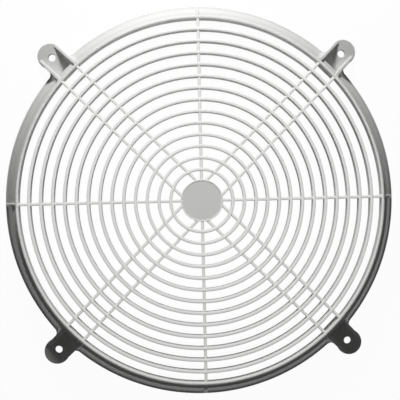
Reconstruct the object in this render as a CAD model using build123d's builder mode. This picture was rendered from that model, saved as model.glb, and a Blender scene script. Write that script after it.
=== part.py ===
"""Moulded fan cover of an outdoor air unit: one piece of plastic.

A flat grille of round rings and spokes stands in front of the fan opening. Its outermost
ring is the crest of a hollow rim, which slopes back to the panel that the cover is screwed
to. Four screw lugs stand out of the rim on the diagonals.

Frame: the origin is the centre of the plane where the cover meets the panel, +Z points out
of the grille, away from the panel, and the single spokes lie along X and Y.
"""

import os
from math import hypot, sqrt

from build123d import *

# Screw holes, at the corners of a square
hole_spacing = 320.0
hole_diameter = 8.0

# Rim, from the foot on the panel up to the crest ring
cover_height = 28.0
rim_to_hole = 12.3
rim_wall = 2.6
foot_edge = 2.0
wall_run = 12.2
shoulder_run = 5.1
shoulder_rise = 3.4
crest_side = 3.6

# Rings of the grille, the crest ring of the rim counted in
ring_count = 14
ring_width = 3.4
grille_depth = 8.0

# Spokes: one along each half axis, and a parallel pair to each lug
spoke_width = 3.2
pair_spacing = 22.6

# Ribs that carry the single spokes on down the rim
rib_width = 3.2
rib_height = 1.5

# Hub: a disc with a fine raised edge, hollow at the back
hub_radius = 22.4
hub_gap = 10.8
hub_depth = 9.5
hub_face = 2.5
hub_wall = 2.4
hub_edge_width = 1.1
hub_edge_height = 0.6

# Screw lugs: trays that start at the foot of the shoulder, between two side walls that run
# down to the round end
lug_floor = 3.0
lug_width = 26.4
lug_wall = 2.8
lug_corner_offset = 7.0
lug_end_offset = 16.4

# Places that follow from the sizes above
hole_circle_radius = hole_spacing / sqrt(2)
rim_radius = hole_circle_radius - rim_to_hole
shoulder_foot_radius = rim_radius - wall_run
shoulder_top_radius = shoulder_foot_radius - shoulder_run
shoulder_top_height = cover_height - crest_side
shoulder_foot_height = shoulder_top_height - shoulder_rise
crest_radius = shoulder_top_radius - ring_width / 2
first_ring_radius = hub_radius + hub_gap
ring_pitch = (crest_radius - first_ring_radius) / (ring_count - 1)
grille_back = cover_height - grille_depth
hub_back = cover_height - hub_depth
lug_corner = hole_circle_radius + lug_corner_offset
lug_end = hole_circle_radius + lug_end_offset
lug_inner_width = lug_width - 2 * lug_wall
tray_radius = shoulder_foot_radius
tray_back_radius = tray_radius - rim_wall

# The rim's section. Behind the shoulder it is flat with the back of the grille, and the
# inside of the wall runs side by side with the outside, straight on to the panel.
rim_outside = [
    (rim_radius, 0),
    (rim_radius, foot_edge),
    (shoulder_foot_radius, shoulder_foot_height),
    (shoulder_top_radius, shoulder_top_height),
    (shoulder_top_radius, cover_height),
]
wall_rise = shoulder_foot_height - foot_edge
wall_lean = wall_run / wall_rise
wall_across = rim_wall * hypot(wall_run, wall_rise) / wall_rise
inner_foot_radius = rim_radius + wall_lean * foot_edge - wall_across
rim_inside = [
    (shoulder_top_radius - ring_width, cover_height),
    (shoulder_top_radius - ring_width, grille_back),
    (inner_foot_radius - wall_lean * grille_back, grille_back),
    (inner_foot_radius, 0),
]


def turned(plane, *angles):
    """Copies of an upright plane through the axis, turned about the axis by these angles."""
    return [plane.rotated((0, 0, angle)) for angle in angles]


# One screw lug, pointing along X, still without its tray. It starts inside the hollow of the
# rim, at the back of the tray's end wall.
with BuildPart() as lug:
    with BuildSketch() as lug_plan:
        with BuildLine():
            Polyline(
                (lug_corner, lug_width / 2),
                (crest_radius, lug_width / 2),
                (crest_radius, -lug_width / 2),
                (lug_corner, -lug_width / 2),
            )
            ThreePointArc(
                (lug_corner, -lug_width / 2), (lug_end, 0), (lug_corner, lug_width / 2)
            )
        make_face()
    extrude(amount=cover_height)
    with BuildSketch(Plane.XZ) as lug_side:
        Polygon(
            (crest_radius, 0),
            (crest_radius, cover_height),
            (lug_corner, lug_floor),
            (lug_end, lug_floor),
            (lug_end, 0),
            align=None,
        )
    extrude(amount=lug_width, both=True, mode=Mode.INTERSECT)
    with BuildSketch() as tray_back:
        Circle(tray_back_radius)
    extrude(amount=grille_back, mode=Mode.SUBTRACT)
    with Locations((hole_circle_radius, 0, lug_floor)):
        Hole(hole_diameter / 2, depth=lug_floor)

with BuildPart() as fan_cover:
    # Rim, with its crest ring, and the rings inside it
    with BuildSketch(Plane.XZ) as ring_sections:
        Polygon(*rim_outside, *rim_inside, align=None)
        for number in range(1, ring_count):
            with Locations((crest_radius - number * ring_pitch, cover_height)):
                Rectangle(ring_width, grille_depth, align=(Align.CENTER, Align.MAX))
    revolve(axis=Axis.Z)

    # Single spokes along X and Y
    with BuildSketch(*turned(Plane.YZ, 0, 90, 180, 270)) as single_spokes:
        with Locations((0, cover_height)):
            Rectangle(spoke_width, grille_depth, align=(Align.CENTER, Align.MAX))
    extrude(amount=crest_radius)

    # A pair of spokes to each lug
    with BuildSketch(*turned(Plane.YZ, 45, 135, 225, 315)) as pair_spokes:
        with Locations((-pair_spacing / 2, cover_height), (pair_spacing / 2, cover_height)):
            Rectangle(spoke_width, grille_depth, align=(Align.CENTER, Align.MAX))
    extrude(amount=crest_radius)

    # Hub, in place of the ends of the spokes
    with BuildSketch(Plane.XY.offset(grille_back)) as hub_plan:
        Circle(hub_radius)
    extrude(amount=grille_depth, mode=Mode.SUBTRACT)
    with BuildSketch(Plane.XZ) as hub_section:
        Polygon(
            (0, cover_height - hub_edge_height),
            (hub_radius - hub_edge_width, cover_height - hub_edge_height),
            (hub_radius - hub_edge_width, cover_height),
            (hub_radius, cover_height),
            (hub_radius, hub_back),
            (hub_radius - hub_wall, hub_back),
            (hub_radius - hub_wall, cover_height - hub_edge_height - hub_face),
            (0, cover_height - hub_edge_height - hub_face),
            align=None,
        )
    revolve(axis=Axis.Z)

    # Ribs that follow the outside of the rim from each single spoke to the foot
    with BuildSketch(*turned(Plane.XZ, 0, 90, 180, 270)) as ribs:
        Polygon(
            (crest_radius, cover_height - rib_height),
            (shoulder_top_radius + rib_height, shoulder_top_height + rib_height),
            (shoulder_foot_radius + rib_height, shoulder_foot_height + rib_height),
            (rim_radius, foot_edge),
            (rim_radius - rib_height, foot_edge),
            (shoulder_foot_radius - rib_height, shoulder_foot_height - rib_height),
            (crest_radius, shoulder_top_height - rib_height),
            align=None,
        )
    extrude(amount=rib_width / 2, both=True)

    with PolarLocations(0, 4, start_angle=45):
        add(lug.part)

    # Trays of the lugs, cut down through the rim from the foot of its shoulder
    with BuildSketch(Plane.XY.offset(lug_floor)) as trays:
        with PolarLocations(crest_radius, 4, start_angle=45):
            Rectangle(
                lug_end - crest_radius, lug_inner_width, align=(Align.MIN, Align.CENTER)
            )
        Circle(tray_radius, mode=Mode.SUBTRACT)
    extrude(amount=cover_height, mode=Mode.SUBTRACT)

fan_cover.part.label = "fan_cover"
os.makedirs("parts", exist_ok=True)
export_step(fan_cover.part, "parts/fan_cover.step")
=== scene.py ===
"""Looks of a moulded fan cover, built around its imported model.

The cover is one piece of satin plastic: a flat grille of rings and spokes, a hub disc, a hollow
sloping rim with four ribs, and four screw lugs. It lies on its back on the floor, its front
towards +Z, and the camera looks down on it.
"""

import logging
import math
from collections.abc import Iterable
from dataclasses import dataclass
from enum import Enum

import bpy
import numpy as np
from mathutils import Matrix, Vector

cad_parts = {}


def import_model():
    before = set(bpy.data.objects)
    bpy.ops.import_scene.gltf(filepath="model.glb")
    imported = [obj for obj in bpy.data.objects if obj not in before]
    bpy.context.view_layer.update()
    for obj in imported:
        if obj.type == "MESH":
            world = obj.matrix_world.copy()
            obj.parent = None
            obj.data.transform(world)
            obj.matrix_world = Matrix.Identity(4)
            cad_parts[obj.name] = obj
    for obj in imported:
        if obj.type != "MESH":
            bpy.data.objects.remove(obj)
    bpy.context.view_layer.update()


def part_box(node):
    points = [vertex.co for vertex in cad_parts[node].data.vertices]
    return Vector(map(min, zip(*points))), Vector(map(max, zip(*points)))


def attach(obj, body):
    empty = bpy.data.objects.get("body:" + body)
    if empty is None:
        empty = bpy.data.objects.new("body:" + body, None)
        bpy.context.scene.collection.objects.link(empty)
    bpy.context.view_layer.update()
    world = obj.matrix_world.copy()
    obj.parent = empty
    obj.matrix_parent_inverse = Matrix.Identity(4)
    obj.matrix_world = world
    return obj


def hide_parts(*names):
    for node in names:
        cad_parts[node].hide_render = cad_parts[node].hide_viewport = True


log = logging.getLogger("fan_cover")

MM = 0.001
TURN = 2 * math.pi
BODY = "root"
NODE = "fan_cover"

# Distance from a rounded edge to the point that keeps the face beside it flat
HOLD = 0.3 * MM


class Join(Enum):
    """How one closed shell is combined with another."""

    UNITE = "UNION"
    CUT = "DIFFERENCE"


class Seen(Enum):
    """The rays by which a background is seen, and not used as light."""

    CAMERA = "Is Camera Ray"
    GLOSSY = "Is Glossy Ray"
    TRANSMISSION = "Is Transmission Ray"


@dataclass
class Shell:
    """A closed surface: its points, and its faces as lists of point numbers.

    Attributes:
        points: Array of shape (n, 3), in metres.
        faces: Arrays of shape (m, sides), one for each number of sides.
    """

    points: np.ndarray
    faces: list[np.ndarray]

    def volume(self) -> float:
        """Signed volume: a sum over fans of triangles, each with the origin a tetrahedron.

        Returns:
            The volume, positive where the faces point outwards.
        """
        total = 0.0
        for group in self.faces:
            first = self.points[group[:, 0]]
            for side in range(1, group.shape[1] - 1):
                second = self.points[group[:, side]]
                third = self.points[group[:, side + 1]]
                total += float(np.einsum("ij,ij->", first, np.cross(second, third))) / 6
        return total

    def outward(self) -> "Shell":
        """Turns the faces outwards where they point inwards.

        Returns:
            The same shell.
        """
        if self.volume() < 0:
            self.faces = [group[:, ::-1] for group in self.faces]
        return self

    def moved(self, along: float) -> "Shell":
        """A copy moved along X."""
        return Shell(self.points + np.array([along, 0, 0]), self.faces)

    def turned(self, angle: float) -> "Shell":
        """A copy turned about the cover's axis.

        Args:
            angle: Turn about Z, in radians.

        Returns:
            The turned copy.
        """
        cosine, sine = math.cos(angle), math.sin(angle)
        turn = np.array([[cosine, -sine, 0], [sine, cosine, 0], [0, 0, 1]])
        return Shell(self.points @ turn.T, self.faces)


def gather(shells: Iterable[Shell]) -> Shell:
    """Puts several shells into one, side by side.

    Args:
        shells: The shells, which stay separate closed surfaces.

    Returns:
        One shell that holds all their points and faces.
    """
    points: list[np.ndarray] = []
    faces: dict[int, list[np.ndarray]] = {}
    start = 0
    for shell in shells:
        points.append(shell.points)
        for group in shell.faces:
            faces.setdefault(group.shape[1], []).append(group + start)
        start += len(shell.points)
    return Shell(np.vstack(points), [np.vstack(groups) for groups in faces.values()])


def grid_quads(rows: int, columns: int, wrap_rows: bool, wrap_columns: bool) -> np.ndarray:
    """Quads between the points of a grid that is stored row by row.

    Args:
        rows: Number of rows.
        columns: Number of points in a row.
        wrap_rows: Whether the last row joins the first.
        wrap_columns: Whether the last point of a row joins the first.

    Returns:
        Array of shape (quads, 4).
    """
    row = np.arange(rows if wrap_rows else rows - 1)[:, None]
    column = np.arange(columns if wrap_columns else columns - 1)[None, :]
    next_row = (row + 1) % rows
    next_column = (column + 1) % columns
    corners = [
        row * columns + column,
        next_row * columns + column,
        next_row * columns + next_column,
        row * columns + next_column,
    ]
    return np.stack([corner.ravel() for corner in corners], axis=1)


def rounded(corners: np.ndarray, radii: np.ndarray, steps: int, closed: bool = True) -> np.ndarray:
    """An outline with its corners rounded.

    At each corner an arc touches both sides at radius / tan(half the corner's angle) from it.
    Its points lie at even angles. One more point stands a little way along each side, so that
    flat stretches stay flat when the surface is smoothed.

    Args:
        corners: Corner points, shape (n, 2), in order.
        radii: Radius at each corner, shape (n,). On an open outline the two ends have none.
        steps: Number of points on each arc.
        closed: Whether the last corner joins the first.

    Returns:
        Array of shape (points, 2).
    """
    before = np.roll(corners, 1, axis=0) - corners
    after = np.roll(corners, -1, axis=0) - corners
    length_before = np.linalg.norm(before, axis=1)
    length_after = np.linalg.norm(after, axis=1)
    before = before / length_before[:, None]
    after = after / length_after[:, None]
    half = np.arccos(np.clip((before * after).sum(1), -1, 1)) / 2
    touch = radii / np.tan(half)
    inward = before + after
    inward = inward / np.linalg.norm(inward, axis=1)[:, None]
    centre = corners + inward * (radii / np.sin(half))[:, None]
    start = corners + before * touch[:, None] - centre
    end = corners + after * touch[:, None] - centre
    sweep = np.arctan2(start[:, 0] * end[:, 1] - start[:, 1] * end[:, 0], (start * end).sum(1))
    angle = sweep[:, None] * np.linspace(0, 1, steps)[None, :]
    across = start[:, 0:1] * np.cos(angle) - start[:, 1:2] * np.sin(angle)
    along = start[:, 0:1] * np.sin(angle) + start[:, 1:2] * np.cos(angle)
    arcs = np.stack([across, along], axis=2) + centre[:, None, :]
    free_before = length_before - touch - np.roll(touch, 1)
    free_after = length_after - touch - np.roll(touch, -1)
    hold_before = np.minimum(HOLD, free_before / 4)
    hold_after = np.minimum(HOLD, free_after / 4)
    first = arcs[:, :1] + (before * hold_before[:, None])[:, None, :]
    last = arcs[:, -1:] + (after * hold_after[:, None])[:, None, :]
    points = np.concatenate([first, arcs, last], axis=1)
    if closed:
        return points.reshape(-1, 2)
    return np.vstack([corners[:1], points[1:-1].reshape(-1, 2), corners[-1:]])


def revolved(outline: np.ndarray, segments: int) -> Shell:
    """A closed outline in radius and height, turned once about the axis.

    A point is (r cos a, r sin a, z) for outline point (r, z) and angle a.

    Args:
        outline: Array of shape (n, 2), radius and height.
        segments: Number of steps round the axis.

    Returns:
        The shell, a closed ring.
    """
    angle = np.arange(segments) * TURN / segments
    radius, height = outline[:, 0], outline[:, 1]
    x = np.cos(angle)[:, None] * radius[None, :]
    y = np.sin(angle)[:, None] * radius[None, :]
    z = np.broadcast_to(height, x.shape)
    points = np.stack([x, y, z], axis=2).reshape(-1, 3)
    return Shell(points, [grid_quads(segments, len(outline), True, True)]).outward()


def revolved_solid(outline: np.ndarray, segments: int) -> Shell:
    """An open outline that starts and ends on the axis, turned once about it.

    A point is (r cos a, r sin a, z), and the two ends are poles, closed by fans of triangles.

    Args:
        outline: Array of shape (n, 2), radius and height, with radius 0 at both ends.
        segments: Number of steps round the axis.

    Returns:
        The shell, a solid of revolution.
    """
    ring = outline[1:-1]
    count = len(ring)
    angle = np.arange(segments) * TURN / segments
    x = np.cos(angle)[:, None] * ring[None, :, 0]
    y = np.sin(angle)[:, None] * ring[None, :, 0]
    z = np.broadcast_to(ring[:, 1], x.shape)
    body = np.stack([x, y, z], axis=2).reshape(-1, 3)
    poles = np.array([(0, 0, outline[0, 1]), (0, 0, outline[-1, 1])])
    here = np.arange(segments) * count
    ahead = (np.arange(segments) + 1) % segments * count
    first_pole = np.full(segments, segments * count)
    first = np.stack([ahead, here, first_pole], axis=1)
    last = np.stack([here + count - 1, ahead + count - 1, first_pole + 1], axis=1)
    quads = grid_quads(segments, count, True, False)
    return Shell(np.vstack([body, poles]), [quads, np.vstack([first, last])]).outward()


def lofted(stations: np.ndarray) -> Shell:
    """A closed section carried through stations, closed at both ends by a fan.

    Args:
        stations: Points of each section, shape (stations, points, 3).

    Returns:
        The shell.
    """
    count, size = stations.shape[:2]
    ends = stations[[0, -1]].mean(axis=1)
    points = np.vstack([stations.reshape(-1, 3), ends])
    quads = grid_quads(count, size, False, True)
    rim = np.arange(size)
    ahead = (rim + 1) % size
    first = np.stack([rim, ahead, np.full(size, count * size)], axis=1)
    offset = (count - 1) * size
    last = np.stack([ahead + offset, rim + offset, np.full(size, count * size + 1)], axis=1)
    return Shell(points, [quads, np.vstack([first, last])]).outward()


def bar_section(width: float, back_width: float, depth: float, crest: float) -> np.ndarray:
    """Section of a bar of the grille: a domed crest with round edges, and sides that draw in.

    The crest is half a superellipse: (across / half width)^3 + (up / crest height)^3 = 1. Each
    back edge is a quarter circle.

    Args:
        width: Width under the crest.
        back_width: Width at the back.
        depth: Depth from the top of the crest to the back.
        crest: Height of the half superellipse.

    Returns:
        Closed outline, shape (n, 2), across the bar and up, the top of the crest at 0.
    """
    exponent = 3
    edge = 0.4 * MM
    angle = np.linspace(0, math.pi, 13)
    across = width / 2 * np.sign(np.cos(angle)) * np.abs(np.cos(angle)) ** (2 / exponent)
    up = crest * (np.abs(np.sin(angle)) ** (2 / exponent) - 1)
    front = np.stack([across, up], axis=1)
    turn = np.linspace(0, math.pi / 2, 4)
    left_x = -back_width / 2 + edge * (1 - np.cos(turn))
    left_z = -depth + edge * (1 - np.sin(turn))
    left = np.stack([left_x, left_z], axis=1)
    hold = np.array([[-back_width / 2, -depth + 2 * edge]])
    left = np.vstack([hold, left])
    right = left[::-1] * np.array([-1, 1])
    return np.vstack([front, left, right])


def make_piece(name: str, shell: Shell, *finishes: bpy.types.Material) -> bpy.types.Object:
    """Writes a shell into a mesh object.

    Args:
        name: Name of the object.
        shell: The surface.
        *finishes: Its materials. The first is on all its faces.

    Returns:
        The new object, at the origin.
    """
    mesh = bpy.data.meshes.new(name)
    loops = np.concatenate([group.ravel() for group in shell.faces])
    sides = np.concatenate([np.full(len(group), group.shape[1]) for group in shell.faces])
    starts = np.concatenate([[0], np.cumsum(sides)[:-1]])
    mesh.vertices.add(len(shell.points))
    mesh.vertices.foreach_set("co", shell.points.astype(np.float32).ravel())
    mesh.loops.add(len(loops))
    mesh.loops.foreach_set("vertex_index", loops.astype(np.int32))
    mesh.polygons.add(len(sides))
    mesh.polygons.foreach_set("loop_start", starts.astype(np.int32))
    mesh.update(calc_edges=True)
    mesh.validate()
    for finish in finishes:
        mesh.materials.append(finish)
    piece = bpy.data.objects.new(name, mesh)
    bpy.context.scene.collection.objects.link(piece)
    return piece


def combine(piece: bpy.types.Object, other: bpy.types.Object, how: Join) -> None:
    """Unites two pieces or cuts one from the other, and removes the second.

    Args:
        piece: The piece that is kept.
        other: The piece that is added or cut away.
        how: Which of the two.
    """
    step = piece.modifiers.new(how.name.lower(), "BOOLEAN")
    step.operation = how.value
    step.solver = "MANIFOLD"
    step.object = other
    graph = bpy.context.evaluated_depsgraph_get()
    made = bpy.data.meshes.new_from_object(piece.evaluated_get(graph))
    piece.modifiers.clear()
    old = piece.data
    name = old.name
    piece.data = made
    bpy.data.meshes.remove(old)
    made.name = name
    bpy.data.objects.remove(other)


def hand_over(piece: bpy.types.Object, sharpest: float = 38.0) -> None:
    """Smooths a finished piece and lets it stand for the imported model.

    Args:
        piece: The piece.
        sharpest: Edges that turn by more than this angle, in degrees, stay sharp.
    """
    mesh = piece.data
    mesh.polygons.foreach_set("use_smooth", np.ones(len(mesh.polygons), bool))
    mesh.set_sharp_from_angle(angle=math.radians(sharpest))
    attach(piece, BODY)
    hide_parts(NODE)
    log.info("%s: %d faces", piece.name, len(mesh.polygons))


@dataclass
class Cover:
    """Sizes that the whole cover shares, in metres.

    Attributes:
        radius: Outer radius of the rim's foot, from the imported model.
        height: Height of the crest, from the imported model.
        wall_run: How far the rim's steep wall leans in.
        shoulder_run: How far the flatter shoulder above it leans in.
        shoulder_rise: How far the shoulder rises.
        crest_side: Height of the crest ring's outer side above the shoulder.
        hub_gap: From the edge of the hub to the middle of the first ring.
        pair_spacing: From middle to middle of two paired spokes.
        rim_to_hole: From the rim's foot to a screw hole, along the diagonal.
    """

    radius: float
    height: float
    wall_run: float = 12.2 * MM
    shoulder_run: float = 5.1 * MM
    shoulder_rise: float = 3.4 * MM
    crest_side: float = 3.6 * MM
    ring_width: float = 3.4 * MM
    ring_count: int = 14
    grille_depth: float = 8.0 * MM
    hub_radius: float = 22.4 * MM
    hub_gap: float = 10.8 * MM
    pair_spacing: float = 22.6 * MM
    rim_to_hole: float = 12.3 * MM

    @classmethod
    def from_frame(cls) -> "Cover":
        """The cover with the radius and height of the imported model."""
        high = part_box(NODE)[1]
        return cls(radius=high.x, height=high.z)

    @property
    def shoulder_foot(self) -> tuple[float, float]:
        """Radius and height where the wall ends and the shoulder starts."""
        height = self.height - self.crest_side - self.shoulder_rise
        return self.radius - self.wall_run, height

    @property
    def shoulder_top(self) -> tuple[float, float]:
        """Radius and height where the shoulder meets the side of the crest ring."""
        return self.shoulder_foot[0] - self.shoulder_run, self.height - self.crest_side

    @property
    def crest_radius(self) -> float:
        """Radius of the middle of the crest ring."""
        return self.shoulder_top[0] - self.ring_width / 2

    @property
    def grille_back(self) -> float:
        """Height of the back of the grille."""
        return self.height - self.grille_depth

    @property
    def ring_radii(self) -> np.ndarray:
        """Radii of the rings inside the crest ring."""
        first = self.hub_radius + self.hub_gap
        return np.linspace(first, self.crest_radius, self.ring_count)[:-1]

    @property
    def hole_circle(self) -> float:
        """Distance of the screw holes from the axis."""
        return self.radius + self.rim_to_hole


@dataclass
class Grille:
    """Rings and spokes. The rings' crests stand a little in front of the spokes'.

    Attributes:
        cover: The shared sizes.
        plastic: The finish.
        spoke_width: Width of a spoke under its crest.
        draw: How much narrower a bar is at the back.
        ring_crest: Height of the domed crest of a ring.
        spoke_crest: Height of the domed crest of a spoke.
        spoke_drop: How far the spokes' crests lie behind the rings'.
        spoke_root: How far a spoke runs into the hub.
        step: Length of a step round a ring.
        fewest_steps: Least number of steps round a ring.
    """

    cover: Cover
    plastic: bpy.types.Material
    spoke_width: float = 3.2 * MM
    draw: float = 0.7 * MM
    ring_crest: float = 1.2 * MM
    spoke_crest: float = 1.2 * MM
    spoke_drop: float = 0.5 * MM
    spoke_root: float = 2.0 * MM
    step: float = 3.0 * MM
    fewest_steps: int = 140

    def ring(self, radius: float) -> Shell:
        """One ring: the bar's section, turned about the axis.

        Args:
            radius: Radius of the middle of the ring.

        Returns:
            The ring's shell.
        """
        width = self.cover.ring_width
        section = bar_section(width, width - self.draw, self.cover.grille_depth, self.ring_crest)
        segments = max(self.fewest_steps, round(TURN * radius / self.step))
        return revolved(section + np.array([radius, self.cover.height]), segments)

    def spoke(self, offset: float) -> Shell:
        """One spoke along +X: the bar's section, carried from inside the hub to the crest ring.

        Args:
            offset: Place of the spoke's middle in Y.

        Returns:
            The spoke's shell.
        """
        depth = self.cover.grille_depth - self.spoke_drop
        width = self.spoke_width
        section = bar_section(width, width - self.draw, depth, self.spoke_crest)
        start = math.sqrt(self.cover.hub_radius**2 - offset**2) - self.spoke_root
        ends = np.array([start, self.cover.crest_radius])
        count = len(section)
        x = np.repeat(ends, count).reshape(2, count)
        y = np.broadcast_to(section[:, 0] + offset, (2, count))
        z = np.broadcast_to(section[:, 1] + self.cover.height - self.spoke_drop, (2, count))
        return lofted(np.stack([x, y, z], axis=2))

    def build(self) -> None:
        """Makes the piece with all rings and spokes."""
        bars = [self.ring(radius) for radius in self.cover.ring_radii]
        quarter = TURN / 4
        half_pair = self.cover.pair_spacing / 2
        for number in range(4):
            bars.append(self.spoke(0.0).turned(number * quarter))
            for side in (-1, 1):
                bars.append(self.spoke(side * half_pair).turned((number + 0.5) * quarter))
        hand_over(make_piece("grille", gather(bars), self.plastic))


@dataclass
class Hub:
    """The middle disc, with a fine raised edge and a hollow back."""

    cover: Cover
    plastic: bpy.types.Material
    grained: bpy.types.Material
    depth: float = 9.5 * MM
    face: float = 2.5 * MM
    wall: float = 2.4 * MM
    edge_width: float = 1.1 * MM
    edge_height: float = 0.6 * MM
    segments: int = 160

    def build(self) -> None:
        """Makes the disc: its section turned about the axis, with a grained face."""
        top = self.cover.height
        radius = self.cover.hub_radius
        inner = radius - self.edge_width
        face = top - self.edge_height
        back = face - self.face
        corners = np.array(
            [
                (0, face),
                (inner, face),
                (inner, top),
                (radius, top),
                (radius, top - self.depth),
                (radius - self.wall, top - self.depth),
                (radius - self.wall, back),
                (0, back),
            ]
        )
        radii = np.array([0, 0.2, 0.36, 0.68, 0.3, 0.3, 0.5, 0]) * MM
        outline = rounded(corners, radii, steps=5, closed=False)
        disc = revolved_solid(outline, self.segments)
        piece = make_piece("hub", disc, self.plastic, self.grained)
        mesh = piece.data
        centres = np.empty(len(mesh.polygons) * 3)
        mesh.polygons.foreach_get("center", centres)
        centres = centres.reshape(-1, 3)
        level = np.abs(centres[:, 2] - face) < 0.01 * MM
        on_face = level & (np.hypot(centres[:, 0], centres[:, 1]) < inner)
        mesh.polygons.foreach_set("material_index", on_face.astype(np.int32))
        hand_over(piece)


@dataclass
class Rim:
    """The hollow sloping rim, whose top is the crest ring."""

    cover: Cover
    plastic: bpy.types.Material
    wall: float = 2.6 * MM
    foot_edge: float = 1.7 * MM
    flare_run: float = 2.6 * MM
    flare_rise: float = 1.7 * MM
    rib_width: float = 3.3 * MM
    rib_foot_width: float = 4.4 * MM
    rib_height: float = 1.6 * MM
    rib_crest: float = 1.0 * MM
    rib_depth: float = 2.4 * MM
    rib_steps: int = 48
    rib_rounds: int = 3
    segments: int = 480

    def outside(self) -> np.ndarray:
        """Corners of the outside, from the foot up to the crest.

        Returns:
            Array of shape (6, 2), radius and height.
        """
        radius = self.cover.radius
        return np.array(
            [
                (radius, 0),
                (radius, self.foot_edge),
                (radius - self.flare_run, self.foot_edge + self.flare_rise),
                self.cover.shoulder_foot,
                self.cover.shoulder_top,
                (self.cover.shoulder_top[0], self.cover.height),
            ]
        )

    def shell(self) -> Shell:
        """The rim without its trays: its section, turned about the axis.

        The inside of the wall runs beside the outside, at the wall's thickness square to it.

        Returns:
            The rim's shell.
        """
        outside = self.outside()
        inner = self.cover.shoulder_top[0] - self.cover.ring_width
        back = self.cover.grille_back
        run, rise = self.cover.wall_run, self.cover.shoulder_foot[1] - self.foot_edge
        across = self.wall * math.hypot(run, rise) / rise
        foot = self.cover.radius - across + run / rise * self.foot_edge
        inside = np.array(
            [
                (inner, self.cover.height),
                (inner, back),
                (foot - run / rise * back, back),
                (foot, 0),
            ]
        )
        corners = np.vstack([outside, inside])
        radii = np.array([0.4, 0.7, 1.0, 1.2, 0.9, 1.4, 1.4, 0.4, 0.8, 0.4]) * MM
        return revolved(rounded(corners, radii, steps=6), self.segments)

    def rib(self) -> Shell:
        """One rib along +X, which carries a single spoke on down the outside of the rim.

        Its top line runs beside the rim's outside at about the rib's height, and its corners
        are averaged with their neighbours until they are round. At each point of the line the
        section stands square to it: a half ellipse over straight sides.

        Returns:
            The rib's shell.
        """
        top = self.cover.shoulder_top
        foot = self.cover.shoulder_foot
        lift = self.rib_height
        # Corners of the top line: crest ring, both bends of the rim, and its foot
        line = np.array(
            [
                (self.cover.crest_radius, self.cover.height - 0.9 * MM),
                (top[0] + 0.8 * lift, top[1] + 0.9 * lift),
                (foot[0] + 0.9 * lift, foot[1] + 0.5 * lift),
                (self.cover.radius - 0.8 * MM, self.foot_edge + 2.0 * MM),
                (self.cover.radius - 0.35 * MM, self.foot_edge - 0.4 * MM),
            ]
        )
        length = np.concatenate([[0], np.cumsum(np.linalg.norm(np.diff(line, axis=0), axis=1))])
        share = np.linspace(0, length[-1], self.rib_steps)
        smooth = np.stack([np.interp(share, length, line[:, side]) for side in (0, 1)], axis=1)
        for _ in range(self.rib_rounds):
            smooth[1:-1] = (smooth[:-2] + 2 * smooth[1:-1] + smooth[2:]) / 4
        tangent = np.gradient(smooth, axis=0)
        tangent /= np.linalg.norm(tangent, axis=1)[:, None]
        normal = np.stack([-tangent[:, 1], tangent[:, 0]], axis=1)
        angle = np.linspace(0, math.pi, 11)
        depth = self.rib_depth
        across = np.concatenate([np.cos(angle), [-1.0, 1.0]]) / 2
        down = np.concatenate([self.rib_crest * (1 - np.sin(angle)), [depth, depth]])
        width = np.interp(share, [0, length[-1]], [self.rib_width, self.rib_foot_width])
        radius = smooth[:, 0:1] - normal[:, 0:1] * down[None, :]
        height = smooth[:, 1:2] - normal[:, 1:2] * down[None, :]
        side = width[:, None] * across[None, :]
        return lofted(np.stack([radius, side, height], axis=2))

    def build(self, trays: Iterable[Shell]) -> None:
        """Makes the rim and its ribs.

        Args:
            trays: The bodies that the lugs' trays cut out of the rim.
        """
        piece = make_piece("rim", self.shell(), self.plastic)
        for tray in trays:
            combine(piece, make_piece("tray", tray), Join.CUT)
        hand_over(piece)
        ribs = gather(self.rib().turned(number * TURN / 4) for number in range(4))
        hand_over(make_piece("rim_ribs", ribs, self.plastic))


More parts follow.
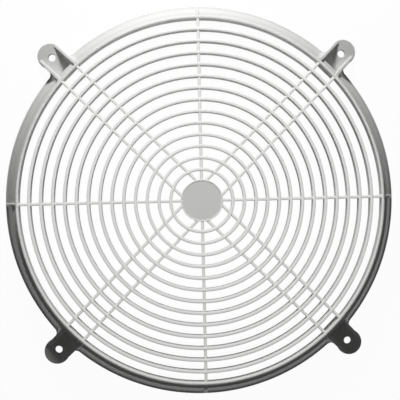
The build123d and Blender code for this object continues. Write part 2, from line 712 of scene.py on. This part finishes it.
@dataclass
class ScrewLug:
    """One screw lug along +X: a tray between two side walls that run down to a round end.

    Attributes:
        corner_offset: From the screw hole to where the side walls have run out.
        end_offset: From the screw hole to the tip.
        root_radius: Radius of the round root between the lug's side and the rim.
        edge: Rounding of the side walls' tops.
        tray_fillet: Rounding between side wall and floor.
        draft: How far a side wall's inside leans in.
        levels: Points up the outer side of a section.
        arc_reach: How far past the shoulder's foot sections are arcs about the axis.
        straight_from: How far past the rim's foot sections are straight.
        sunk_limit: Depth inside the rim's wall at which the round root is gone.
        sunk_fade: Depth over which it fades out.
    """

    cover: Cover
    rim: Rim
    plastic: bpy.types.Material
    width: float = 26.4 * MM
    wall: float = 2.8 * MM
    floor: float = 3.0 * MM
    corner_offset: float = 7.0 * MM
    end_offset: float = 16.4 * MM
    root_radius: float = 5.5 * MM
    hole_radius: float = 4.0 * MM
    edge: float = 0.5 * MM
    tray_fillet: float = 0.9 * MM
    draft: float = 0.3 * MM
    levels: int = 28
    arc_reach: float = 4 * MM
    straight_from: float = 8 * MM
    sunk_limit: float = 1.9 * MM
    sunk_fade: float = 1.1 * MM

    @property
    def corner(self) -> float:
        """Distance from the axis at which the side walls have run out."""
        return self.cover.hole_circle + self.corner_offset

    @property
    def end_wall(self) -> tuple[float, float]:
        """Radii of the back and the front of the tray's end wall."""
        front = self.cover.shoulder_foot[0] + 0.25 * MM
        return self.cover.shoulder_foot[0] - self.rim.wall, front

    def forward(self, radius: np.ndarray, across: np.ndarray) -> np.ndarray:
        """Distance along X of a point at a radius and a distance across.

        Near the rim it is the square root of radius squared minus distance across squared, so
        that stations are arcs about the axis. Past the foot the arcs straighten out.

        Args:
            radius: Radius of the station.
            across: Distance from the lug's middle.

        Returns:
            The distance along X.
        """
        near = self.cover.shoulder_foot[0] + self.arc_reach
        far = self.cover.radius + self.straight_from
        fade = np.clip((far - radius) / (far - near), 0, 1)
        bend = fade * fade * (3 - 2 * fade)
        return np.sqrt(radius**2 - bend * across**2)

    def flare(self, along: np.ndarray, height: np.ndarray) -> np.ndarray:
        """How far the round root stands out of the lug's side.

        In plan it is an arc that touches the side and the rim's outside at that height: root
        radius minus the square root of (root radius squared minus distance squared). Inside
        the rim's wall it fades out again.

        Args:
            along: Distance along X.
            height: Height.

        Returns:
            The distance out of the side.
        """
        root = self.root_radius
        outside = self.rim.outside()
        radius = np.interp(height, outside[:, 1], outside[:, 0])
        centre_y = self.width / 2 + root
        centre_x = np.sqrt((radius + root) ** 2 - centre_y**2)
        most = 0.985 * root
        reach = np.clip(centre_x - along, 0, most)
        out = root - np.sqrt(root**2 - reach**2)
        sunk = radius - np.hypot(along, self.width / 2 + out)
        fade = np.clip((self.sunk_limit - sunk) / self.sunk_fade, 0, 1)
        return out * fade * fade * (3 - 2 * fade)

    def stations(self) -> np.ndarray:
        """Places the sections, close together where the tray's end wall drops.

        Returns:
            Their radii, in order.
        """
        # Under the shoulder, over the end wall, down its face and round its foot, along the
        # side walls past the rim's foot, and on to where they have run out
        back, front = self.end_wall
        start = self.cover.shoulder_top[0] - 1.2 * MM
        drop = front + np.array([-0.02, 0.1, 0.25, 0.4, 0.55, 0.75, 1.05, 1.45, 2.0]) * MM
        near_end = self.cover.radius + 7 * MM
        parts = [
            np.linspace(start, back - 0.02 * MM, 6),
            np.linspace(back, front - 0.2 * MM, 5),
            drop,
            np.linspace(drop[-1], near_end, 42)[1:],
            np.linspace(near_end, self.corner, 9)[1:],
        ]
        return np.concatenate(parts)

    def tray_floor(self, radius: np.ndarray) -> np.ndarray:
        """Height of the tray's floor: under the shoulder, down the end wall, and level.

        Args:
            radius: Radius of the station.

        Returns:
            The height.
        """
        front = self.end_wall[1]
        outside = self.rim.outside()[::-1]
        sunk = np.interp(radius, outside[:, 0], outside[:, 1]) - 0.4 * MM

        # The end wall leans a little, and its round foot sinks to the floor in small steps
        steps = front + np.array([-0.01, 0.0, 0.4, 0.55, 0.8, 1.2, 1.7]) * MM
        top = self.cover.shoulder_foot[1] - 0.45 * MM
        heights = np.array([0, 0, 1.6, 0.9, 0.35, 0.08, 0.0]) * MM + self.floor
        heights[:2] = top
        return np.where(radius < front, sunk, np.interp(radius, steps, heights))

    def body(self) -> Shell:
        """The tray with its side walls: sections across the diagonal, carried outwards.

        Half a section runs up the outer side, over the rounded top of the wall, down its inside
        and along the tray's floor to the middle. The other half is its mirror image.

        Returns:
            The shell.
        """
        radius = self.stations()[:, None]
        half = self.width / 2
        inner = half - self.wall
        back = self.end_wall[0]
        crest = self.forward(radius, np.full_like(radius, half - self.wall / 2))
        top_line = [self.cover.height - 0.3 * MM, self.floor]
        top = np.interp(crest, [self.cover.crest_radius, self.corner], top_line)
        bottom = np.where(radius < back - 0.01 * MM, self.cover.grille_back + 1.0 * MM, 0.0)

        # Outer side of the wall, from the bottom up to the rounded edge
        share = np.linspace(0, 1, self.levels)[None, :]
        side_z = bottom + (top - self.edge - bottom) * share
        side_x = self.forward(radius, np.full_like(side_z, half))
        side_y = half + self.flare(side_x, side_z)

        # Rounded outer edge, top, and rounded inner edge of the wall
        turn = np.linspace(0, math.pi / 2, 4)[None, :]
        outer_y = side_y[:, -1:] - self.edge * (1 - np.cos(turn))
        outer_z = top - self.edge * (1 - np.sin(turn))
        inner_y = inner + self.edge * (1 - np.sin(turn)) + np.zeros_like(outer_y)
        inner_z = top - self.edge * (1 - np.cos(turn))

        # Round foot of the wall's inside, and the tray's floor as far as the middle
        bend_y = inner - self.draft - self.tray_fillet * (1 - np.cos(turn))
        lane_y = np.concatenate([bend_y, np.linspace(bend_y[0, -1], 0, 5)[None, 1:]], axis=1)
        lift = np.concatenate([self.tray_fillet * (1 - np.sin(turn)), np.zeros((1, 4))], axis=1)
        floor = np.minimum(self.tray_floor(radius), top - 0.02 * MM)
        lane_z = floor + np.minimum(lift, (top - floor) * 0.9)
        lane_y = np.broadcast_to(lane_y, lane_z.shape)

        half_y = np.concatenate([side_y, outer_y[:, 1:], inner_y, lane_y], axis=1)
        half_z = np.concatenate([side_z, outer_z[:, 1:], inner_z, lane_z], axis=1)
        y = np.concatenate([half_y, -half_y[:, -2::-1]], axis=1)
        z = np.concatenate([half_z, half_z[:, -2::-1]], axis=1)
        x = self.forward(radius, np.minimum(np.abs(y), half))
        return lofted(np.stack([x, y, z], axis=2))

    def end(self) -> Shell:
        """The round end: a disc with a rounded edge, which meets the side walls' outsides.

        Its radius is (half width squared + reach squared) / (2 reach), the circle through the
        two corners and the tip.

        Returns:
            The shell.
        """
        tip = self.cover.hole_circle + self.end_offset
        half = self.width / 2
        reach = tip - self.corner
        radius = (half**2 + reach**2) / (2 * reach)
        corners = np.array([(0, 0), (radius, 0), (radius, self.floor), (0, self.floor)])
        radii = np.array([0, 0.3, 0.6, 0]) * MM
        outline = rounded(corners, radii, steps=5, closed=False)
        return revolved_solid(outline, segments=120).moved(tip - radius)

    def drill(self) -> Shell:
        """The screw hole with its broken edges, as the body that is cut away.

        Returns:
            The shell.
        """
        radius = self.hole_radius
        bevel = 0.35 * MM
        past = 1.0 * MM
        outline = np.array(
            [
                (0, -past),
                (radius + bevel, -past),
                (radius + bevel, 0),
                (radius, bevel),
                (radius, self.floor - bevel),
                (radius + bevel, self.floor),
                (radius + bevel, self.floor + past),
                (0, self.floor + past),
            ]
        )
        return revolved_solid(outline, segments=72).moved(self.cover.hole_circle)

    def tray_cut(self) -> Shell:
        """What the tray cuts out of the rim: a block between two arcs about the axis.

        Returns:
            The shell.
        """
        half = self.width / 2 - self.wall / 2
        across = np.linspace(-half, half, 9)
        y = np.concatenate([across, across[::-1]])
        low, high = self.floor / 2, self.cover.height + 2 * MM
        z = np.repeat([low, high], len(across))
        radii = np.array([self.end_wall[1] - 0.1 * MM, self.cover.radius + 3 * MM])[:, None]
        x = np.sqrt(radii**2 - y[None, :] ** 2)
        section = [x, np.broadcast_to(y, x.shape), np.broadcast_to(z, x.shape)]
        return lofted(np.stack(section, axis=2))

    def build(self) -> None:
        """Makes the four lugs, one on each diagonal."""
        first = make_piece("screw_lug", self.body(), self.plastic)
        combine(first, make_piece("lug_end", self.end()), Join.UNITE)
        combine(first, make_piece("lug_drill", self.drill()), Join.CUT)
        for number in range(4):
            mesh = first.data.copy()
            mesh.transform(Matrix.Rotation((number + 0.5) * TURN / 4, 4, "Z"))
            piece = bpy.data.objects.new(f"screw_lug_{number + 1}", mesh)
            bpy.context.scene.collection.objects.link(piece)
            hand_over(piece)
        bpy.data.objects.remove(first)


class Graph:
    """A short way to add nodes and links to a node tree."""

    def __init__(self, tree: bpy.types.NodeTree) -> None:
        """Takes the tree that nodes are added to."""
        self.tree = tree

    def add(self, kind: str, **values: object) -> bpy.types.Node:
        """Adds a node.

        Args:
            kind: Type of the node.
            **values: Its properties, such as operation.

        Returns:
            The node.
        """
        node = self.tree.nodes.new(kind)
        for name, value in values.items():
            setattr(node, name, value)
        return node

    def link(self, start: bpy.types.NodeSocket, end: bpy.types.NodeSocket) -> None:
        """Links an output to an input."""
        self.tree.links.new(start, end)

    def math(self, operation: str, first: object, second: object) -> bpy.types.NodeSocket:
        """Adds a Math node.

        Args:
            operation: What it does.
            first: Its first input, a socket or a number.
            second: Its second input, a socket or a number.

        Returns:
            Its output.
        """
        node = self.add("ShaderNodeMath", operation=operation)
        for slot, value in zip(node.inputs, (first, second)):
            if isinstance(value, bpy.types.NodeSocket):
                self.link(value, slot)
            else:
                slot.default_value = value
        return node.outputs[0]

    def noise(
        self, place: bpy.types.NodeSocket, scale: object, detail: float
    ) -> bpy.types.NodeSocket:
        """Adds a Noise Texture.

        Args:
            place: The coordinates.
            scale: Its scale, a socket or a number.
            detail: Its detail.

        Returns:
            Its value.
        """
        node = self.add("ShaderNodeTexNoise")
        self.link(place, node.inputs["Vector"])
        if isinstance(scale, bpy.types.NodeSocket):
            self.link(scale, node.inputs["Scale"])
        else:
            node.inputs["Scale"].default_value = scale
        node.inputs["Detail"].default_value = detail
        return node.outputs["Fac"]


def new_group(name: str, inputs: dict[str, float], outputs: dict[str, str]) -> Graph:
    """Starts a shader node group with a Group Input and a Group Output node.

    Args:
        name: Name of the group.
        inputs: Its number inputs, with their usual values.
        outputs: Its outputs, with their socket types.

    Returns:
        The graph of the group.
    """
    tree = bpy.data.node_groups.new(name, "ShaderNodeTree")
    for label, value in inputs.items():
        socket = tree.interface.new_socket(label, in_out="INPUT", socket_type="NodeSocketFloat")
        socket.default_value = value
    for label, kind in outputs.items():
        tree.interface.new_socket(label, in_out="OUTPUT", socket_type=kind)
    graph = Graph(tree)
    graph.add("NodeGroupInput", name="in")
    graph.add("NodeGroupOutput", name="out")
    return graph


def make_grain_group() -> bpy.types.NodeTree:
    """Fine texture of the mould with a slow waviness: a weighted sum of two noises.

    Returns:
        The group, whose output is the Height.
    """
    inputs = {"Grain Scale": 1400.0, "Wave Scale": 22.0, "Wave Share": 0.5}
    graph = new_group("moulded_grain", inputs, {"Height": "NodeSocketFloat"})
    entry, leave = graph.tree.nodes["in"], graph.tree.nodes["out"]
    place = graph.add("ShaderNodeTexCoord").outputs["Object"]
    grain = graph.noise(place, entry.outputs["Grain Scale"], 2.0)
    wave = graph.noise(place, entry.outputs["Wave Scale"], 1.0)
    raised = graph.math("MULTIPLY", wave, entry.outputs["Wave Share"])
    graph.link(graph.math("ADD", grain, raised), leave.inputs["Height"])
    return graph.tree


def make_drift_group() -> bpy.types.NodeTree:
    """Slow drift of tone and gloss, and fine dust low on the cover.

    Tone is two noises, centred on zero. Dust is a cloudy noise that is strongest on the
    panel's plane and fades upwards.

    Returns:
        The group, whose outputs are the Tone and the Dust.
    """
    inputs = {"Cloud Scale": 14.0, "Speck Scale": 420.0, "Dust Height": 6 * MM}
    outputs = {"Tone": "NodeSocketFloat", "Dust": "NodeSocketFloat"}
    graph = new_group("tone_drift", inputs, outputs)
    entry, leave = graph.tree.nodes["in"], graph.tree.nodes["out"]
    place = graph.add("ShaderNodeTexCoord").outputs["Object"]
    clouds = graph.noise(place, entry.outputs["Cloud Scale"], 3.0)
    specks = graph.noise(place, entry.outputs["Speck Scale"], 2.0)
    speck_share = 0.35
    middle = (1 + speck_share) / 2
    both = graph.math("ADD", clouds, graph.math("MULTIPLY", specks, speck_share))
    graph.link(graph.math("SUBTRACT", both, middle), leave.inputs["Tone"])
    parts = graph.add("ShaderNodeSeparateXYZ")
    graph.link(place, parts.inputs[0])
    rise = graph.math("DIVIDE", parts.outputs["Z"], entry.outputs["Dust Height"])
    low = graph.math("SUBTRACT", 1.0, rise)
    held = graph.math("MAXIMUM", low, 0.0)
    graph.link(graph.math("MULTIPLY", held, clouds), leave.inputs["Dust"])
    return graph.tree


@dataclass(frozen=True)
class PlasticFinish:
    """A finish of the moulded plastic.

    Attributes:
        name: Name of the material.
        colour: Base colour, linear.
        roughness: Mean roughness.
        specular: Specular level.
        grain: Scale of the mould's texture, per metre.
        bump: Strength of the texture.
        relief: Height of the texture in metres.
        drift: How much the tone drifts.
        gloss_drift: How much the roughness drifts for each step of the tone.
        dust: How much the dust darkens.
    """

    name: str
    colour: tuple[float, float, float]
    roughness: float
    specular: float
    grain: float
    bump: float
    relief: float
    drift: float
    gloss_drift: float = 1.2
    dust: float = 0.06

    def make(
        self, grain_group: bpy.types.NodeTree, drift_group: bpy.types.NodeTree
    ) -> bpy.types.Material:
        """Makes the material.

        Args:
            grain_group: The group that gives the texture's height.
            drift_group: The group that gives the drift of tone.

        Returns:
            The material.
        """
        material = bpy.data.materials.new(self.name)
        material.use_nodes = True
        graph = Graph(material.node_tree)
        shader = material.node_tree.nodes["Principled BSDF"]
        shader.inputs["Specular IOR Level"].default_value = self.specular
        texture = graph.add("ShaderNodeGroup", node_tree=grain_group)
        texture.inputs["Grain Scale"].default_value = self.grain
        bump = graph.add("ShaderNodeBump")
        bump.inputs["Strength"].default_value = self.bump
        bump.inputs["Distance"].default_value = self.relief
        graph.link(texture.outputs["Height"], bump.inputs["Height"])
        graph.link(bump.outputs["Normal"], shader.inputs["Normal"])
        tone = graph.add("ShaderNodeGroup", node_tree=drift_group)
        swing = graph.math("MULTIPLY", tone.outputs["Tone"], self.drift)
        dust = graph.math("MULTIPLY", tone.outputs["Dust"], self.dust)
        level = graph.math("SUBTRACT", graph.math("ADD", swing, 1.0), dust)
        shade = graph.add("ShaderNodeVectorMath", operation="SCALE")
        shade.inputs[0].default_value = self.colour
        graph.link(level, shade.inputs["Scale"])
        graph.link(shade.outputs[0], shader.inputs["Base Color"])
        gloss = graph.math("MULTIPLY_ADD", swing, self.gloss_drift)
        gloss.node.inputs[2].default_value = self.roughness
        graph.link(gloss, shader.inputs["Roughness"])
        return material


SATIN = PlasticFinish(
    name="satin_plastic",
    colour=(0.65, 0.648, 0.638),
    roughness=0.38,
    specular=0.1,
    grain=1400.0,
    bump=0.2,
    relief=0.05 * MM,
    drift=0.1,
)
GRAINED = PlasticFinish(
    name="grained_face",
    colour=(0.48, 0.478, 0.471),
    roughness=0.5,
    specular=0.1,
    grain=900.0,
    bump=0.4,
    relief=0.06 * MM,
    drift=0.12,
)


@dataclass
class Camera:
    """The photograph's camera: turns in degrees, shifts and distance in metres.

    Attributes:
        focal_px: Focal length in pixels of the frame.
        frame_px: Width of the square frame in pixels.
        sensor_mm: Width of the sensor in millimetres, to which the lens is scaled.
        turn_x: Turn of the cover before the camera, about X.
        turn_y: The same about Y.
        turn_z: The same about Z.
        shift_x: How far the cover's origin lies to the right of the middle of the view.
        shift_y: How far it lies above the middle.
        distance: Distance of the camera from the cover's origin along the view.
    """

    focal_px: float = 563.0
    frame_px: float = 400.0
    sensor_mm: float = 36.0
    turn_x: float = 0.15
    turn_y: float = 2.01
    turn_z: float = 1.32
    shift_x: float = 1.18 * MM
    shift_y: float = -0.44 * MM
    distance: float = 625.8 * MM

    def place(self) -> None:
        """Makes the camera. Its turn is the transpose of X turn times Y turn times Z turn."""
        data = bpy.data.cameras.new("camera")
        data.sensor_width = self.sensor_mm
        data.lens = data.sensor_width * self.focal_px / self.frame_px
        data.clip_start = 0.01
        data.clip_end = 50.0
        camera = bpy.data.objects.new("camera", data)
        turn = (
            Matrix.Rotation(math.radians(self.turn_x), 3, "X")
            @ Matrix.Rotation(math.radians(self.turn_y), 3, "Y")
            @ Matrix.Rotation(math.radians(self.turn_z), 3, "Z")
        ).transposed()
        place = turn @ Vector((-self.shift_x, -self.shift_y, self.distance))
        camera.matrix_world = Matrix.Translation(place) @ turn.to_4x4()
        bpy.context.scene.collection.objects.link(camera)
        bpy.context.scene.camera = camera


@dataclass
class Studio:
    """Floor, lamps and world. The beam reaches the grille, but not the rim's wall and its lugs.

    Lengths are in metres, angles in degrees and powers in watts. Floor and world are seen as
    white, but give little light: floor_grey and world_strength are what they give.
    """

    floor_size: float = 8.0
    floor_drop: float = 0.3 * MM
    floor_grey: float = 0.03
    floor_glow: float = 0.965
    lamp_elevation: float = 25.0
    lamp_azimuth: float = 96.0
    lamp_distance: float = 0.85
    lamp_size: float = 0.16
    lamp_power: float = 6.4
    beam_height: float = 1.5
    beam_radius: float = 201 * MM
    beam_power: float = 50.0
    beam_source: float = 0.002
    beam_blend: float = 0.03
    world_strength: float = 0.05

    def seen(self, graph: Graph) -> bpy.types.NodeSocket:
        """One where the background is seen by the camera or in a gloss, and zero elsewhere.

        Args:
            graph: The graph of the floor or the world.

        Returns:
            The mask.
        """
        path = graph.add("ShaderNodeLightPath")
        mask = path.outputs[Seen.CAMERA.value]
        for kind in (Seen.GLOSSY, Seen.TRANSMISSION):
            mask = graph.math("MAXIMUM", mask, path.outputs[kind.value])
        return mask

    def make_floor(self) -> None:
        """A pale floor, which the camera sees as white under the object's own shadow.

        Seen from below it is clear, so that the cover's back can be looked at.
        """
        corners = np.array([(-1, -1), (1, -1), (1, 1), (-1, 1)]) * self.floor_size / 2
        points = np.column_stack([corners, np.full(len(corners), -self.floor_drop)])
        material = bpy.data.materials.new("floor")
        material.use_nodes = True
        tree = material.node_tree
        tree.nodes.clear()
        graph = Graph(tree)
        output = graph.add("ShaderNodeOutputMaterial")
        front, both = graph.add("ShaderNodeMixShader"), graph.add("ShaderNodeMixShader")
        matte, glow = graph.add("ShaderNodeBsdfDiffuse"), graph.add("ShaderNodeEmission")
        clear, side = graph.add("ShaderNodeBsdfTransparent"), graph.add("ShaderNodeNewGeometry")
        seen = self.seen(graph)
        grey = graph.math("MULTIPLY_ADD", seen, 1.0 - self.floor_grey)
        grey.node.inputs[2].default_value = self.floor_grey
        graph.link(grey, matte.inputs["Color"])
        graph.link(graph.math("MULTIPLY", seen, self.floor_glow), front.inputs[0])
        graph.link(matte.outputs[0], front.inputs[1])
        graph.link(glow.outputs[0], front.inputs[2])
        graph.link(side.outputs["Backfacing"], both.inputs[0])
        graph.link(front.outputs[0], both.inputs[1])
        graph.link(clear.outputs[0], both.inputs[2])
        graph.link(both.outputs[0], output.inputs["Surface"])
        make_piece("floor", Shell(points, [np.array([[0, 1, 2, 3]])]), material)

    def make_lamp(self) -> None:
        """One soft lamp beyond the top edge of the picture."""
        azimuth, elevation = math.radians(self.lamp_azimuth), math.radians(self.lamp_elevation)
        flat = math.cos(elevation)
        towards = Vector((math.cos(azimuth) * flat, math.sin(azimuth) * flat, math.sin(elevation)))
        data = bpy.data.lights.new("lamp", "AREA")
        data.size = self.lamp_size
        data.energy = self.lamp_power
        lamp = bpy.data.objects.new("lamp", data)
        turn = towards.to_track_quat("Z", "Y").to_matrix().to_4x4()
        lamp.matrix_world = Matrix.Translation(towards * self.lamp_distance) @ turn
        bpy.context.scene.collection.objects.link(lamp)

    def make_beam(self) -> None:
        """A narrow round beam straight down on the grille."""
        data = bpy.data.lights.new("beam", "SPOT")
        data.shadow_soft_size = self.beam_source
        data.spot_size = 2 * math.atan(self.beam_radius / self.beam_height)
        data.spot_blend = self.beam_blend
        data.energy = self.beam_power
        beam = bpy.data.objects.new("beam", data)
        beam.location = (0, 0, self.beam_height)
        bpy.context.scene.collection.objects.link(beam)

    def make_world(self) -> None:
        """A world that is seen as white and gives little light."""
        world = bpy.data.worlds.new("studio")
        world.use_nodes = True
        graph = Graph(world.node_tree)
        background = world.node_tree.nodes["Background"]
        background.inputs["Color"].default_value = (1, 1, 1, 1)
        strength = graph.math("MULTIPLY_ADD", self.seen(graph), 1.0 - self.world_strength)
        strength.node.inputs[2].default_value = self.world_strength
        graph.link(strength, background.inputs["Strength"])
        bpy.context.scene.world = world

    def build(self) -> None:
        """Makes floor, lamps and world, and sets the plain view transform."""
        self.make_floor()
        self.make_lamp()
        self.make_beam()
        self.make_world()
        bpy.context.scene.view_settings.view_transform = "Standard"


def main() -> None:
    """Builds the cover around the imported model, and the studio around the cover."""
    logging.basicConfig(level=logging.INFO, format="%(message)s")
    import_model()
    cover = Cover.from_frame()
    groups = make_grain_group(), make_drift_group()
    satin, grained = SATIN.make(*groups), GRAINED.make(*groups)
    rim = Rim(cover, satin)
    lug = ScrewLug(cover, rim, satin)
    Grille(cover, satin).build()
    Hub(cover, satin, grained).build()
    rim.build(lug.tray_cut().turned((number + 0.5) * TURN / 4) for number in range(4))
    lug.build()
    Studio().build()
    Camera().place()


if __name__ == "__main__":
    main()
